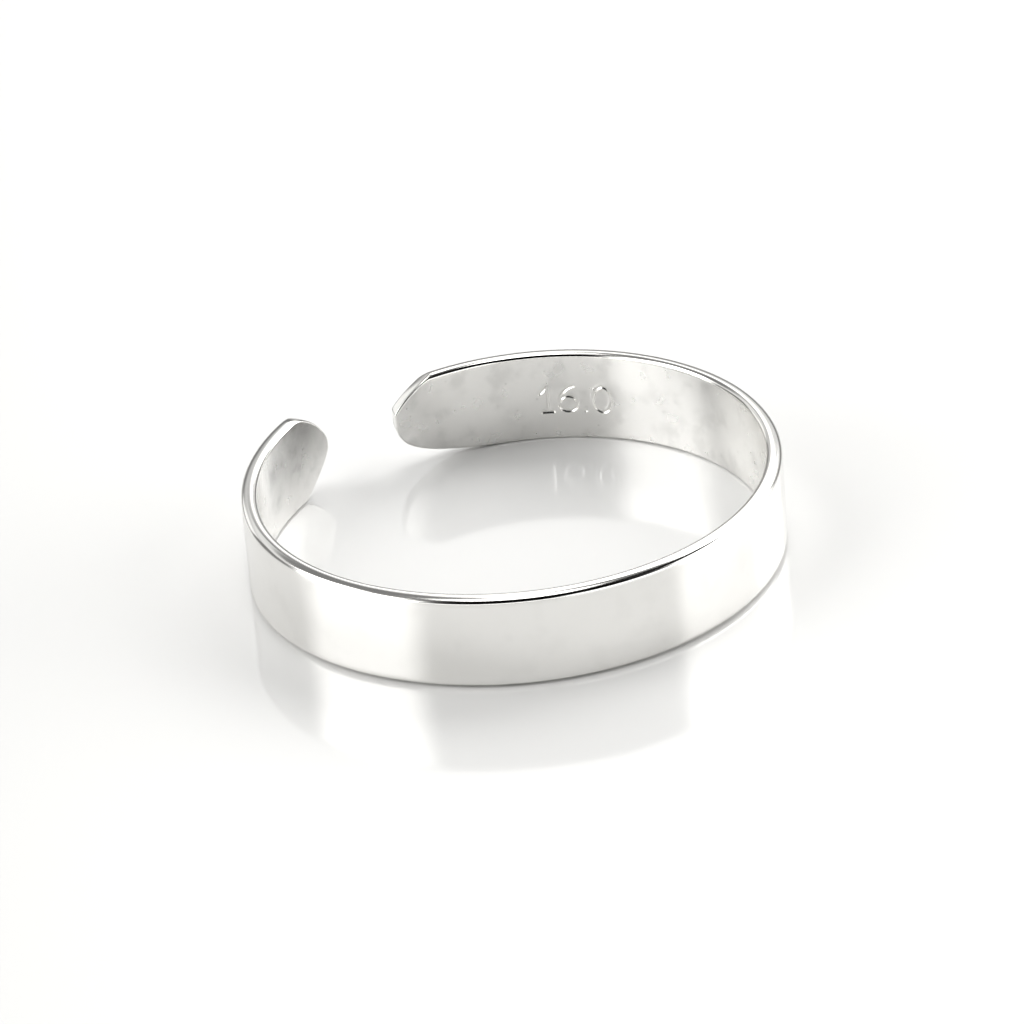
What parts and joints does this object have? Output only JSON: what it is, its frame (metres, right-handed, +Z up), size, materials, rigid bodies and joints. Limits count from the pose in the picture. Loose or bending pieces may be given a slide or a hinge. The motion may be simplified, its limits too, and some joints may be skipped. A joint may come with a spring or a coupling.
{
  "type": "toe ring",
  "caption": "Plain open toe ring: one flat metal strip bent into a ring, with softened edges and two snipped, rounded ends that leave an adjusting gap.",
  "frame": {"origin": "under the middle of the ring's box, on the surface that the lower rim rests on", "axes": "+Z up, along the way that the toe goes through; +Y from the ring's middle towards the gap between the tips; +X to the right seen from the front, opposite the gap"},
  "size_m": [0.0168, 0.0166, 0.003],
  "materials": {
    "silver": "silver, polished outside and on the rims, satin inside"
  },
  "bodies": {
    "root": {"band": "silver"}
  },
  "joints": []
}
